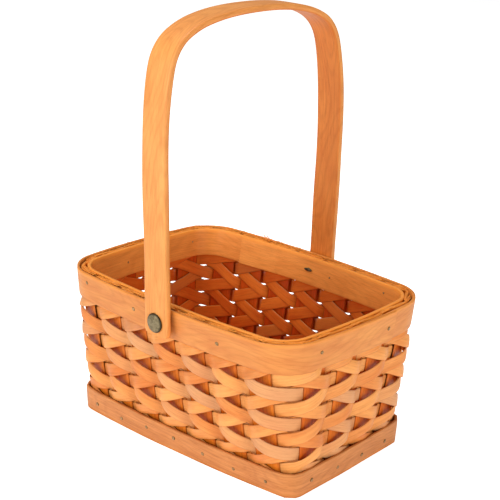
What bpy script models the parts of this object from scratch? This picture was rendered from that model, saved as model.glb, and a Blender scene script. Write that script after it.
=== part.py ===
"""Woven wood splint basket with a swinging hoop handle.

Length runs along X, width along Y and height along +Z, in metres.
The origin lies under the middle of the base, and the front long wall faces -Y.
Every piece of the wall is placed by a column number, a height and an offset from
the middle of the weave, so the whole wall follows the two outlines named below.
"""

import math

import bmesh
import bpy
import numpy as np
from mathutils import Matrix, Vector
from mathutils.geometry import closest_point_on_tri

# Body, measured over the outer bands
body_height = 0.130
rim_length = 0.260
rim_width = 0.1844
rim_corner = 0.029
rim_bow_short = 0.0057
rim_bow_long = 0.0069
base_length = 0.2357
base_width = 0.1505
base_corner = 0.0104
base_bow_short = 0.0006
base_bow_long = 0.0046
# The base stands turned a little against the rim, counter-clockwise seen from above, in radians
base_turn = 0.045

# Splints of the weave
splint_thickness = 0.0008
upright_width = 0.022
weaver_width = 0.0104
row_height = 0.0254
first_row = 0.0145
weave_bottom = 0.012
top_trim = 0.0008
long_columns = 7
short_columns = 4
corner_room_share = 0.55
# How far the uprights of the front, right, back and left wall stand off its middle, in pitches
base_shift_shares = (-0.04, -0.06, -0.04, -0.06)
rim_shift_shares = (-0.14, 0.22, 0.00, 0.00)
short_wall_lift_share = 0.25
lift_spread_share = 0.84
corner_steps = 3
upright_steps = 6

# Bands and board
band_thickness = 0.0026
inner_band_thickness = 0.0033
band_gap = 0.0004
rim_band_height = 0.0245
base_band_height = 0.0205
board_thickness = 0.009
lap_tip = 0.0007
lap_end = 0.0010
lap_steps = 4
base_lap_column = 14
rim_outer_lap_column = 8
rim_inner_lap_column = 15

# Hoop handle
handle_width = 0.0248
handle_thickness = 0.0055
handle_rise = 0.2342
handle_drop = 0.010
# The handle and its rivets stand this far to the right of the basket's middle
handle_offset = 0.003
# The hoop's crown leans this far towards the front arm
handle_skew = 0.004
handle_clearance = 0.0008
handle_steps = 2
pivot_below_rim = 0.011
# Outer curve of one half of the hoop: share of the arm's half span, share of the rise
hoop_shares = [
    (1.000, 0.000),
    (1.004, 0.080),
    (1.014, 0.250),
    (1.026, 0.420),
    (1.028, 0.560),
    (1.014, 0.690),
    (0.978, 0.800),
    (0.928, 0.872),
    (0.840, 0.922),
    (0.715, 0.955),
    (0.545, 0.979),
    (0.300, 0.995),
    (0.000, 1.000),
]

# Rivets and brads
rivet_head_radius = 0.0078
rivet_head_height = 0.0020
rivet_shank_radius = 0.0015
# Each rivet's split end is bent out to both sides, this far from the rivet's middle
rivet_leg_reach = 0.0042
rivet_leg_thickness = 0.0009
rivet_sides = 20
bore_sides = 12
brad_radius = 0.0015
brad_height = 0.0006
brad_sides = 6
point_radius = 0.0009
# Brads on one half of the basket: column, share of the band's height
base_brad_shares = [
    (0, 0.44),
    (1, 0.36),
    (2, 0.53),
    (3, 0.60),
    (4, 0.49),
    (5, 0.40),
    (6, 0.42),
    (7, 0.51),
    (8, 0.44),
    (9, 0.38),
    (10, 0.38),
]
rim_brad_shares = [(0.30, 0.68), (2.16, 0.51), (4.96, 0.46), (7.00, 0.57), (9.08, 0.48)]

# Outer curve of a rivet's head: share of its radius, share of its height
rivet_dome_shares = [(1.00, 0.00), (1.00, 0.30), (0.84, 0.65), (0.52, 0.90), (0.00, 1.00)]

clearance = 0.0003
bore_overrun = 0.004

# Values worked out from the sizes above
layer = splint_thickness + clearance
weave_reach = 2 * layer + splint_thickness / 2
band_offset = weave_reach + band_gap
wall_reach = band_offset + band_thickness
inner_reach = band_offset + inner_band_thickness
column_count = 2 * (long_columns + short_columns)
weave_top = body_height - top_trim
pivot_height = body_height - pivot_below_rim


def outline(half_x, half_y, corner, bow_x, bow_y):
    """Points of a rounded and slightly bowed rectangle, from the middle of its front left corner."""
    arc_steps = 60
    side_steps = 120
    quarter = math.pi / 2
    points = []
    marks = [0]

    def arc(sign_x, sign_y, start, end):
        centre_x = sign_x * (half_x - corner)
        centre_y = sign_y * (half_y - corner)
        for angle in np.linspace(start, end, arc_steps):
            points.append((centre_x + corner * math.cos(angle), centre_y + corner * math.sin(angle)))

    def side(target):
        begin = np.array(points[-1])
        for share in np.linspace(0, 1, side_steps)[1:-1]:
            points.append(tuple(begin + (np.array(target) - begin) * share))

    eighth = quarter / 2
    arc(-1, -1, 2 * quarter + eighth, 3 * quarter)
    side((half_x - corner, -half_y))
    arc(1, -1, 3 * quarter, 3 * quarter + eighth)
    marks.append(len(points) - 1)
    arc(1, -1, 3 * quarter + eighth, 4 * quarter)
    side((half_x, half_y - corner))
    arc(1, 1, 0, eighth)
    marks.append(len(points) - 1)
    arc(1, 1, eighth, quarter)
    side((-half_x + corner, half_y))
    arc(-1, 1, quarter, quarter + eighth)
    marks.append(len(points) - 1)
    arc(-1, 1, quarter + eighth, 2 * quarter)
    side((-half_x, -half_y + corner))
    arc(-1, -1, 2 * quarter, 2 * quarter + eighth)
    marks.append(len(points) - 1)

    flat = np.array(points)
    bowed = flat.copy()
    bowed[:, 0] += flat[:, 0] / half_x * bow_x * (1 - (flat[:, 1] / half_y) ** 2)
    bowed[:, 1] += flat[:, 1] / half_y * bow_y * (1 - (flat[:, 0] / half_x) ** 2)
    return bowed, marks


class Level:
    """One closed outline with its running length and its outward directions."""

    def __init__(self, length, width, corner, bow_short, bow_long, turn):
        half_x = length / 2 - wall_reach - bow_short
        half_y = width / 2 - wall_reach - bow_long
        points, marks = outline(half_x, half_y, corner - wall_reach, bow_short, bow_long)
        cosine, sine = math.cos(turn), math.sin(turn)
        points = points @ np.array([[cosine, sine], [-sine, cosine]])
        keep = [0]
        for index in range(1, len(points)):
            if np.linalg.norm(points[index] - points[keep[-1]]) > clearance / 10:
                keep.append(index)
        self.corners = []
        for mark in marks:
            self.corners.append(min(keep, key=lambda index: abs(index - mark)))
        self.points = points[keep]
        steps = np.linalg.norm(np.diff(self.points, axis=0), axis=1)
        self.run = np.concatenate([[0], np.cumsum(steps)])
        self.corners = [self.run[keep.index(index)] for index in self.corners]
        self.total = self.run[-1]
        self.corners[-1] = self.total
        tangent = np.roll(self.points, -1, axis=0) - np.roll(self.points, 1, axis=0)
        tangent[0] = self.points[1] - self.points[-2]
        tangent[-1] = tangent[0]
        tangent /= np.linalg.norm(tangent, axis=1)[:, None]
        self.outward = np.stack([tangent[:, 1], -tangent[:, 0]], axis=1)

    def at(self, run):
        run = run % self.total
        point = np.array([np.interp(run, self.run, self.points[:, axis]) for axis in range(2)])
        outward = np.array([np.interp(run, self.run, self.outward[:, axis]) for axis in range(2)])
        return point, outward / np.linalg.norm(outward)


base_level = Level(base_length, base_width, base_corner, base_bow_short, base_bow_long, base_turn)
rim_level = Level(rim_length, rim_width, rim_corner, rim_bow_short, rim_bow_long, 0)


def wall_columns(level, shift_shares):
    """Running length of each upright's middle, wall by wall, and the mean pitch."""
    middles = []
    pitches = []
    for wall, count in enumerate((long_columns, short_columns, long_columns, short_columns)):
        start, end = level.corners[wall], level.corners[wall + 1]
        pitch = (end - start) / (count - 1 + 2 * corner_room_share)
        middle = (start + end) / 2 + shift_shares[wall] * pitch
        for number in range(count):
            middles.append(middle + (number - (count - 1) / 2) * pitch)
        pitches.append(pitch)
    return middles, sum(pitches) / len(pitches)


base_middles, base_pitch = wall_columns(base_level, base_shift_shares)
rim_middles, rim_pitch = wall_columns(rim_level, rim_shift_shares)
edge_share = upright_width / (base_pitch + rim_pitch)


def short_wall_share(column):
    """One on the short walls and nought on the long ones, with a ramp round each corner."""
    share = 0
    corner = -0.5 - column_count
    while corner < column + column_count:
        for count, sign in ((long_columns, 1), (short_columns, -1)):
            corner += count
            ramp = (column - corner) / (2 * lift_spread_share) + 0.5
            share += sign * min(max(ramp, 0), 1)
    return share


class Node:
    """One upright line of the wall: both outlines' points, and the column number."""

    def __init__(self, column, base_run, rim_run):
        self.column = column
        self.runs = (base_run, rim_run)
        self.lift = short_wall_share(column) * short_wall_lift_share * row_height
        self.base, self.base_out = base_level.at(base_run)
        self.rim, self.rim_out = rim_level.at(rim_run)

    def place(self, height, offset):
        share = height / body_height
        point = self.base * (1 - share) + self.rim * share
        outward = self.base_out * (1 - share) + self.rim_out * share
        outward = outward / np.linalg.norm(outward)
        point = point + outward * offset
        return Vector((point[0], point[1], height))

    def direction(self, height):
        share = height / body_height
        outward = self.base_out * (1 - share) + self.rim_out * share
        outward = outward / np.linalg.norm(outward)
        lean = float(np.dot(self.rim - self.base, outward)) / body_height
        return Vector((outward[0], outward[1], -lean)).normalized()


def wall_nodes():
    """Left edge, middle and right edge of each upright, with steps round each corner."""
    nodes = []
    corner_columns = list(np.cumsum((long_columns, short_columns, long_columns, short_columns)))
    base_arc = math.pi / 2 * (base_corner - wall_reach)
    for column in range(column_count):
        if column in corner_columns:
            nodes.append(None)
        for side in (-1, 0, 1):
            nodes.append(
                Node(
                    column + side * edge_share,
                    base_middles[column] + side * upright_width / 2,
                    rim_middles[column] + side * upright_width / 2,
                )
            )
    nodes.append(None)
    corner = 0
    filled = []
    for index, node in enumerate(nodes):
        if node is not None:
            filled.append(node)
            continue
        before = nodes[index - 1]
        after = nodes[(index + 1) % len(nodes)]
        last = index == len(nodes) - 1
        end_column = after.column + (column_count if last else 0)
        end_rim = after.runs[1] + (rim_level.total if last else 0)
        corner += 1
        for step in range(1, corner_steps + 1):
            share = step / (corner_steps + 1)
            along = (share - 0.5) * (corner_steps + 1) / (corner_steps - 1)
            filled.append(
                Node(
                    before.column + (end_column - before.column) * share,
                    base_level.corners[corner] + base_arc * along,
                    before.runs[1] + (end_rim - before.runs[1]) * share,
                )
            )
    return filled


nodes = wall_nodes()


def node_at(index):
    """The node of an endless run round the basket, and its column number on that run."""
    turn, place = divmod(index, len(nodes))
    return nodes[place], nodes[place].column + turn * column_count


def index_below(column):
    """Index of the last node at or before this column on the endless run."""
    turn = math.floor((column - nodes[0].column) / column_count)
    index = turn * len(nodes)
    while node_at(index + 1)[1] <= column:
        index += 1
    return index


def wall_point(column, height, offset):
    """A point on the flat facets between two nodes."""
    index = index_below(column)
    first, first_column = node_at(index)
    second, second_column = node_at(index + 1)
    share = (column - first_column) / (second_column - first_column)
    point = first.place(height, offset).lerp(second.place(height, offset), share)
    direction = first.direction(height).lerp(second.direction(height), share).normalized()
    return point, direction


def material(name, colour, roughness, metallic):
    made = bpy.data.materials.new(name)
    made.use_nodes = True
    shader = made.node_tree.nodes["Principled BSDF"]
    shader.inputs["Base Color"].default_value = (*colour, 1)
    shader.inputs["Roughness"].default_value = roughness
    shader.inputs["Metallic"].default_value = metallic
    made.diffuse_color = (*colour, 1)
    return made


def add_object(name, mesh_data, look, smooth=False):
    mesh = bpy.data.meshes.new(name)
    mesh_data.to_mesh(mesh)
    mesh_data.free()
    if smooth:
        mesh.shade_smooth()
        mesh.set_sharp_from_angle(angle=math.radians(40))
    made = bpy.data.objects.new(name, mesh)
    made.data.materials.append(material(name + "_material", *look))
    bpy.context.scene.collection.objects.link(made)
    return made


def ribbon(mesh_data, sections, low_to_high=True, closed=False):
    """Skins sections of outer low, outer high, inner high and inner low corners."""
    rings = [[mesh_data.verts.new(corner) for corner in section] for section in sections]
    pairs = list(zip(rings[:-1], rings[1:]))
    if closed:
        pairs.append((rings[-1], rings[0]))
    for one, two in pairs:
        if low_to_high:
            faces = [(one[0], two[0], two[1]), (one[0], two[1], one[1])]
            faces += [(one[3], two[2], two[3]), (one[3], one[2], two[2])]
        else:
            faces = [(one[0], two[0], one[1]), (two[0], two[1], one[1])]
            faces += [(one[3], one[2], two[3]), (two[3], one[2], two[2])]
        faces.append((one[1], two[1], two[2], one[2]))
        faces.append((one[3], two[3], two[0], one[0]))
        for face in faces:
            mesh_data.faces.new(face)
    if not closed:
        mesh_data.faces.new((rings[0][0], rings[0][1], rings[0][2], rings[0][3]))
        mesh_data.faces.new((rings[-1][3], rings[-1][2], rings[-1][1], rings[-1][0]))


def trim(mesh_data, height, keep_below):
    """Cuts the mesh level at a height and closes the cut."""
    everything = mesh_data.verts[:] + mesh_data.edges[:] + mesh_data.faces[:]
    bmesh.ops.bisect_plane(
        mesh_data,
        geom=everything,
        plane_co=(0, 0, height),
        plane_no=(0, 0, 1),
        clear_outer=keep_below,
        clear_inner=not keep_below,
    )
    rims = [edge for edge in mesh_data.edges if edge.is_boundary]
    bmesh.ops.holes_fill(mesh_data, edges=rims, sides=0)


def weaver(name, number, falling, look):
    """One slanting splint, from the foot of the weave to the rim."""
    slope_run = (base_pitch + rim_pitch) / 2
    slant = math.atan2(row_height / 2, slope_run)
    half = weaver_width / math.cos(slant) / 2
    sign = -1 if falling else 1
    reach = row_height * short_wall_lift_share + half
    low = (weave_bottom - first_row - reach) / (row_height / 2)
    high = (weave_top - first_row + reach) / (row_height / 2)
    if falling:
        start, end = number - high, number - low
    else:
        start, end = low - number, high - number
    sections = []
    for index in range(index_below(start), index_below(end) + 2):
        node, column = node_at(index)
        middle = first_row + row_height / 2 * (number + sign * column)
        middle += node.lift
        upright = round(column)
        side = (column - upright) / edge_share
        if falling:
            outside = (number - upright) % 2 == 0
        else:
            outside = (number + upright) % 2 == 1
        face = 1 if outside else -1
        if abs(side) < 1 - splint_thickness:
            low_offset, high_offset = 2 * layer * face, layer * face
        else:
            steps = 1.5 + 0.5 * math.copysign(1, side) * (1 if falling else -1)
            if abs(side) > 1 + splint_thickness:
                steps = None
            low_offset = high_offset = steps * layer * face if steps else None
        sections.append([node, middle, low_offset, high_offset, column])
    fill_corners(sections)
    shape = bmesh.new()
    rings = []
    for node, middle, low_offset, high_offset, _ in sections:
        out = splint_thickness / 2
        rings.append(
            (
                node.place(middle - half, low_offset + out),
                node.place(middle + half, high_offset + out),
                node.place(middle + half, high_offset - out),
                node.place(middle - half, low_offset - out),
            )
        )
    ribbon(shape, rings, low_to_high=falling)
    trim(shape, weave_top, True)
    trim(shape, weave_bottom, False)
    return add_object(name, shape, look)


def fill_corners(sections):
    """Offsets of the corner steps, straight from one upright's edge to the next one's."""
    while sections[0][2] is None:
        sections.pop(0)
    while sections[-1][2] is None:
        sections.pop()
    known = [index for index, section in enumerate(sections) if section[2] is not None]
    for before, after in zip(known[:-1], known[1:]):
        for index in range(before + 1, after):
            span = sections[after][4] - sections[before][4]
            share = (sections[index][4] - sections[before][4]) / span
            offset = sections[before][2] * (1 - share) + sections[after][2] * share
            sections[index][2] = offset
            sections[index][3] = offset


def uprights(name, columns, look):
    """The upright splints of one wall, joined by a foot strip behind the base band."""
    first = index_below(columns[0] - edge_share / 2)
    last = index_below(columns[-1] + edge_share / 2) + 1
    heights = [clearance] + list(np.linspace(weave_bottom - clearance, weave_top, upright_steps + 1))
    out = splint_thickness / 2
    shape = bmesh.new()
    corners = []
    for index in range(first, last + 1):
        node, _ = node_at(index)
        corners.append([[shape.verts.new(node.place(z, side * out)) for side in (1, -1)] for z in heights])
    filled = set()
    for step in range(last - first):
        filled.add((step, 0))
        if step % 3 != 2:
            filled.update((step, level) for level in range(1, upright_steps + 1))
    for step, level in filled:
        low_left, high_left = corners[step][level], corners[step][level + 1]
        low_right, high_right = corners[step + 1][level], corners[step + 1][level + 1]
        shape.faces.new((low_left[0], low_right[0], high_right[0], high_left[0]))
        shape.faces.new((low_left[1], high_left[1], high_right[1], low_right[1]))
        if (step, level - 1) not in filled:
            shape.faces.new((low_left[0], low_left[1], low_right[1], low_right[0]))
        if (step, level + 1) not in filled:
            shape.faces.new((high_left[0], high_right[0], high_right[1], high_left[1]))
        if (step - 1, level) not in filled:
            shape.faces.new((low_left[0], high_left[0], high_left[1], low_left[1]))
        if (step + 1, level) not in filled:
            shape.faces.new((low_right[0], low_right[1], high_right[1], high_right[0]))
    loose = [vert for vert in shape.verts if not vert.link_faces]
    for vert in loose:
        shape.verts.remove(vert)
    return add_object(name, shape, look)


def band(name, bottom, top, side, thickness, start_column, look):
    """A bent band outside (side 1) or inside (side -1) the weave, whose ends lap."""
    count = len(nodes)
    start = index_below(start_column)
    shape = bmesh.new()
    rings = []
    for step in range(count + lap_steps + 1):
        node, _ = node_at(start + step)
        near = band_offset
        far = band_offset + thickness
        if step < lap_steps:
            far = near + lap_tip + (thickness - lap_tip) * step / lap_steps
        if step >= count:
            share = (step - count) / lap_steps
            near = near + lap_tip + (thickness - lap_tip) * share + clearance
            far = far + (clearance + lap_end) * share
        pair = (near * side, far * side)
        low, high = min(pair), max(pair)
        rings.append(
            (
                node.place(bottom, high),
                node.place(top, high),
                node.place(top, low),
                node.place(bottom, low),
            )
        )
    ribbon(shape, rings)
    return add_object(name, shape, look)


def board(name, look):
    """The base board, against the foot strips of the uprights."""
    shape = bmesh.new()
    reach = splint_thickness / 2 + clearance
    low = [shape.verts.new(node.place(0, -reach)) for node in nodes]
    high = [shape.verts.new(node.place(board_thickness, -reach)) for node in nodes]
    shape.faces.new(reversed(low))
    shape.faces.new(high)
    for index in range(len(nodes)):
        after = (index + 1) % len(nodes)
        shape.faces.new((low[index], low[after], high[after], high[index]))
    return add_object(name, shape, look)


def smooth_curve(points, steps):
    """A curve through the points, with a number of steps between each pair."""
    ends = [2 * points[0] - points[1]] + list(points) + [2 * points[-1] - points[-2]]
    made = []
    for index in range(1, len(ends) - 2):
        before, one, two, after = ends[index - 1 : index + 3]
        for step in range(steps):
            share = step / steps
            square = share * share
            cube = square * share
            made.append(
                (
                    one * 2
                    + (two - before) * share
                    + (before * 2 - one * 5 + two * 4 - after) * square
                    + (one * 3 - before - two * 3 + after) * cube
                )
                / 2
            )
    made.append(points[-1])
    return made


def hoop(name, arm, look):
    """The bent handle: a flat strip whose middle plane is X = 0, with its origin on the pivot."""
    half = [Vector((0, -arm * y, handle_rise * z)) for y, z in hoop_shares]
    other = [Vector((0, -point.y, point.z)) for point in reversed(half[:-1])]
    outer = smooth_curve(half + other, handle_steps)
    for point in outer:
        point.y -= handle_skew * (point.z / handle_rise) ** 3
    outer = [Vector((0, -arm, -handle_drop))] + outer + [Vector((0, arm, -handle_drop))]
    shape = bmesh.new()
    side = handle_width / 2
    rings = []
    for index, point in enumerate(outer):
        before = outer[max(index - 1, 0)]
        after = outer[min(index + 1, len(outer) - 1)]
        along = (after - before).normalized()
        inward = Vector((0, along.z, -along.y))
        inner = point + inward * handle_thickness
        rings.append(
            (
                point - Vector((side, 0, 0)),
                point + Vector((side, 0, 0)),
                inner + Vector((side, 0, 0)),
                inner - Vector((side, 0, 0)),
            )
        )
    ribbon(shape, rings)
    bmesh.ops.recalc_face_normals(shape, faces=shape.faces)
    made = add_object(name, shape, look)
    made.location = (handle_offset, 0, pivot_height)
    return made


def turned(shape, profile, sides, place):
    """A turned solid from a profile of reach along X, radius and height, with its ends on the axis."""
    rings = []
    for reach, radius, height in profile:
        if radius == 0:
            rings.append([shape.verts.new(place @ Vector((0, 0, height)))])
            continue
        ring = []
        for step in range(sides):
            angle = 2 * math.pi * step / sides
            corner = Vector((reach * math.cos(angle), radius * math.sin(angle), height))
            ring.append(shape.verts.new(place @ corner))
        rings.append(ring)
    for one, two in zip(rings[:-1], rings[1:]):
        for step in range(sides):
            after = (step + 1) % sides
            if len(one) == 1:
                shape.faces.new((one[0], two[after], two[step]))
            elif len(two) == 1:
                shape.faces.new((one[step], one[after], two[0]))
            else:
                shape.faces.new((one[step], one[after], two[after], two[step]))


def rivet(name, facing, seat, tail, look):
    """Head outside the arm, shank through the wall and two legs bent apart inside it."""
    turn = Matrix.Rotation(-facing * math.pi / 2, 4, "X")
    place = Matrix.Identity(4)
    thick = rivet_shank_radius
    profile = [
        (0, 0, tail - rivet_leg_thickness),
        (rivet_leg_reach, thick, tail - rivet_leg_thickness),
        (rivet_leg_reach, thick, tail),
        (thick, thick, tail),
        (thick, thick, seat),
    ]
    for across, up in rivet_dome_shares:
        radius = rivet_head_radius * across
        profile.append((radius, radius, seat + rivet_head_height * up))
    shape = bmesh.new()
    turned(shape, profile, rivet_sides, place)
    bmesh.ops.recalc_face_normals(shape, faces=shape.faces)
    made = add_object(name, shape, look, smooth=True)
    made.matrix_world = Matrix.Translation((handle_offset, 0, pivot_height)) @ turn
    return made


def bore(name, facing, seat, tail):
    """The hole that a rivet passes through, as a hidden cutter."""
    turn = Matrix.Rotation(-facing * math.pi / 2, 4, "X")
    radius = rivet_shank_radius + clearance
    low, high = tail - bore_overrun, seat + bore_overrun
    shape = bmesh.new()
    profile = [(0, 0, low), (radius, radius, low), (radius, radius, high), (0, 0, high)]
    turned(shape, profile, bore_sides, Matrix.Identity(4))
    bmesh.ops.recalc_face_normals(shape, faces=shape.faces)
    made = add_object(name, shape, ((0.5, 0.5, 0.5), 0.5, 0.0))
    made.matrix_world = Matrix.Translation((handle_offset, 0, pivot_height)) @ turn
    made.hide_render = True
    made.display_type = "WIRE"
    return made


def meets_bore(target, facing):
    """True where the bore's round outline crosses a face on that side of the basket."""
    radius = rivet_shank_radius + clearance
    axis = Vector((handle_offset, 0, pivot_height))
    mesh = target.data
    mesh.calc_loop_triangles()
    shift = target.matrix_basis.translation
    for triangle in mesh.loop_triangles:
        corners = [mesh.vertices[index].co + shift for index in triangle.vertices]
        if corners[0].y * facing <= 0:
            continue
        flat = [Vector((corner.x, 0, corner.z)) for corner in corners]
        area = (flat[1] - flat[0]).cross(flat[2] - flat[0]).length
        if area < clearance * clearance:
            continue
        nearest = closest_point_on_tri(axis, *flat)
        if (nearest - axis).length < radius * math.cos(math.pi / bore_sides):
            return True
    return False


def cut(target, cutter, facing):
    if not meets_bore(target, facing):
        return
    hole = target.modifiers.new("rivet_bore", "BOOLEAN")
    hole.operation = "DIFFERENCE"
    hole.solver = "EXACT"
    hole.object = cutter


def both_halves(shares):
    """The places of one half of the basket and those half a turn further on."""
    return shares + [(column + column_count / 2, share) for column, share in shares]


def brads(name, target, places, radius):
    """Low domed brad heads that stand on a band and become part of it."""
    shape = bmesh.new()
    for point, direction in places:
        turn = direction.to_track_quat("Z", "Y").to_matrix().to_4x4()
        place = Matrix.Translation(point) @ turn
        edge = brad_height / 2
        profile = [(0, 0, -edge), (radius, radius, -edge), (radius, radius, edge), (0, 0, brad_height)]
        turned(shape, profile, brad_sides, place)
    bmesh.ops.recalc_face_normals(shape, faces=shape.faces)
    made = add_object(name, shape, ((0.5, 0.5, 0.5), 0.5, 0.0))
    made.hide_render = True
    made.display_type = "WIRE"
    joined = target.modifiers.new(name, "BOOLEAN")
    joined.operation = "UNION"
    joined.solver = "EXACT"
    joined.object = made


def main():
    for old in list(bpy.data.objects):
        bpy.data.objects.remove(old, do_unlink=True)

    board_look = ((0.55, 0.30, 0.12), 0.55, 0.0)
    band_look = ((0.74, 0.32, 0.12), 0.42, 0.0)
    inner_look = ((0.70, 0.33, 0.13), 0.42, 0.0)
    splint_look = ((0.85, 0.38, 0.12), 0.40, 0.0)
    upright_look = ((0.66, 0.27, 0.08), 0.48, 0.0)
    handle_look = ((0.76, 0.34, 0.13), 0.38, 0.0)
    rivet_look = ((0.25, 0.23, 0.13), 0.40, 0.9)

    board("base_board", board_look)
    rim_bottom = body_height - rim_band_height
    base_lap = base_lap_column + edge_share
    outer_lap = rim_outer_lap_column
    inner_lap = rim_inner_lap_column
    thick = inner_band_thickness
    held = [
        band("base_band", 0, base_band_height, 1, band_thickness, base_lap, band_look),
        band("rim_band_outer", rim_bottom, body_height, 1, band_thickness, outer_lap, band_look),
        band("rim_band_inner", rim_bottom, body_height, -1, thick, inner_lap, inner_look),
    ]
    starts = np.cumsum([0, long_columns, short_columns, long_columns, short_columns])
    for wall, label in enumerate(("front", "right", "back", "left")):
        columns = range(int(starts[wall]), int(starts[wall + 1]))
        held.append(uprights("uprights_" + label, columns, upright_look))
    for number in range(column_count):
        held.append(weaver(f"falling_splint_{number + 1:02d}", number, True, splint_look))
    for number in range(column_count):
        held.append(weaver(f"rising_splint_{number + 1:02d}", number, False, splint_look))

    arm = rim_width / 2 + handle_clearance + handle_thickness
    handle = hoop("handle", arm, handle_look)
    wall_inside, wall_lean = wall_point((long_columns - 1) / 2, pivot_height, -inner_reach)
    seat = arm + clearance
    tilt = rivet_shank_radius * abs(wall_lean.z) / math.hypot(wall_lean.x, wall_lean.y)
    tail = abs(wall_inside.y) - clearance - tilt
    for facing, label in ((-1, "front"), (1, "back")):
        rivet("rivet_" + label, facing, seat, tail, rivet_look)
        cutter = bore("rivet_bore_" + label, facing, seat, tail)
        for target in held + [handle]:
            cut(target, cutter, facing)

    places = []
    for column, share in both_halves(base_brad_shares):
        places.append(wall_point(column, base_band_height * share, wall_reach))
    brads("base_brads", held[0], places, brad_radius)
    places = []
    points = []
    for column, share in both_halves(rim_brad_shares):
        height = rim_bottom + rim_band_height * share
        places.append(wall_point(column, height, wall_reach))
        point, direction = wall_point(column, height, -inner_reach)
        points.append((point, -direction))
    brads("rim_brads", held[1], places, brad_radius)
    brads("rim_brad_points", held[2], points, point_radius)


main()
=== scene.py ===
# %% [markdown]
# A woven splint basket with a swinging hoop handle.
# The real one is made from thin strips of honey-stained wood: 22 uprights, two sets of
# slanting splints, three bent bands, a bent handle, two rivets and a row of small brads.
# The CAD model is loaded first. It gives the place of every piece, and each piece below
# takes that place, with a finer shape and the finish on top. Only where the slanting
# splints are free do they stand out further than the CAD's, by up to 6 mm.

# %% Load the CAD frame
import math

import bmesh
import bpy
import numpy as np
from mathutils import Matrix, Quaternion, Vector


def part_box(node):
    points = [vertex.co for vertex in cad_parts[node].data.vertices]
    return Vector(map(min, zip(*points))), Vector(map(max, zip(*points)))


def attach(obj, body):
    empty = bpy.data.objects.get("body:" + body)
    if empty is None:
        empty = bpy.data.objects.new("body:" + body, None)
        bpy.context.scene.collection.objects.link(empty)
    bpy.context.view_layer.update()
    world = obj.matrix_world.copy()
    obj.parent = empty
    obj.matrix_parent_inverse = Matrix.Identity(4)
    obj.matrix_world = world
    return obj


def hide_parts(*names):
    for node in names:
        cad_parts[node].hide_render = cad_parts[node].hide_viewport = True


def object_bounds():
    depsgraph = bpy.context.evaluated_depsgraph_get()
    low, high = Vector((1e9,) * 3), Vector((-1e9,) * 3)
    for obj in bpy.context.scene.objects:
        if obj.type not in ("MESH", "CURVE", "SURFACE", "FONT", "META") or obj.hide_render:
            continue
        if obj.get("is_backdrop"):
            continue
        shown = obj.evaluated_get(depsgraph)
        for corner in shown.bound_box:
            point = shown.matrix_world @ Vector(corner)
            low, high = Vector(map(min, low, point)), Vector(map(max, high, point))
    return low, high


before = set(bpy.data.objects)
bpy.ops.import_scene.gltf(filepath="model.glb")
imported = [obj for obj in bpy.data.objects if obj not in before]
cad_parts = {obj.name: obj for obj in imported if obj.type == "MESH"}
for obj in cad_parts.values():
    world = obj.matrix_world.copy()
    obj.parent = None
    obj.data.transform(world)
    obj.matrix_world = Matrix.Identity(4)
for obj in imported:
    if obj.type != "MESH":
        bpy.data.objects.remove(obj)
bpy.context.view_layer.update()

# %% [markdown]
# A product photograph of this kind is taken with a long lens, a little above the rim.
# The camera below comes from a perspective fit to the rim, the base band and the handle.
# It could be turned by hand until it looks right, but a fit leaves errors of a few pixels
# only. It also found that the camera was rolled by a little under two degrees.

# %% Camera at the photograph's angle
scene = bpy.context.scene


def placed(name, data):
    """A new object, put in the scene."""
    made = bpy.data.objects.new(name, data)
    scene.collection.objects.link(made)
    return made


camera_roll = math.radians(1.704)
camera_data = bpy.data.cameras.new("camera")
camera_data.lens = 93.82
camera_data.sensor_width = 36
camera = placed("camera", camera_data)
camera.location = (0.68447, -0.72092, 0.50087)
camera_aim = Vector((0.17331, -0.17663, 0.24060))
camera_turn = (camera_aim - camera.location).to_track_quat("-Z", "Y")
camera.rotation_euler = (camera_turn @ Quaternion((0, 0, 1), camera_roll)).to_euler()
scene.camera = camera
print("camera distance in m:", round((camera_aim - camera.location).length, 3))

# %% [markdown]
# Every material and every Geometry Nodes tree is built from the same small step: add a
# node, set it, and fill or link its inputs. One helper adds a node and another fills the
# inputs of a node that is there already, so that the cells stay short. Colours are written
# as the hex values that a picture editor shows, and one function turns them into the
# linear values that the renderer works with.

# %% Helpers for nodes and colours


def fill(node, inputs):
    """Sets or links a node's inputs. A node as a value stands for its first output."""
    for name, value in inputs.items():
        if isinstance(value, bpy.types.Node):
            value = value.outputs[0]
        if isinstance(value, bpy.types.NodeSocket):
            node.id_data.links.new(value, node.inputs[name])
        else:
            node.inputs[name].default_value = value


def add(tree, kind, inputs=None, **settings):
    """Adds a node with its settings, and fills or links its inputs."""
    node = tree.nodes.new(kind)
    for name, value in settings.items():
        setattr(node, name, value)
    fill(node, inputs or {})
    return node


def linear(hex_colour):
    """The linear colour of an sRGB hex value such as '#E09A62'."""
    made = []
    for start in (1, 3, 5):
        value = int(hex_colour[start : start + 2], 16) / 255
        made.append(value / 12.92 if value <= 0.04045 else ((value + 0.055) / 1.055) ** 2.4)
    return (*made, 1.0)


def new_finish(name):
    """A new material, its node tree and its shader."""
    made = bpy.data.materials.new(name)
    made.use_nodes = True
    return made, made.node_tree, made.node_tree.nodes["Principled BSDF"]


def coat(tree, colour, tint, value, low=0.0, high=1.0, most=1.0, blend="MIX"):
    """A tint over the colour: none where the value is low, and most where it is high."""
    inputs = {"Value": value, "From Min": low, "From Max": high, "To Min": 0.0, "To Max": most}
    share = add(tree, "ShaderNodeMapRange", inputs)
    inputs = {0: share, 6: colour, 7: linear(tint)}
    return add(tree, "ShaderNodeMix", inputs, data_type="RGBA", blend_type=blend).outputs[2]


print("band colour, linear:", [round(value, 3) for value in linear("#E09A62")])

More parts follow.
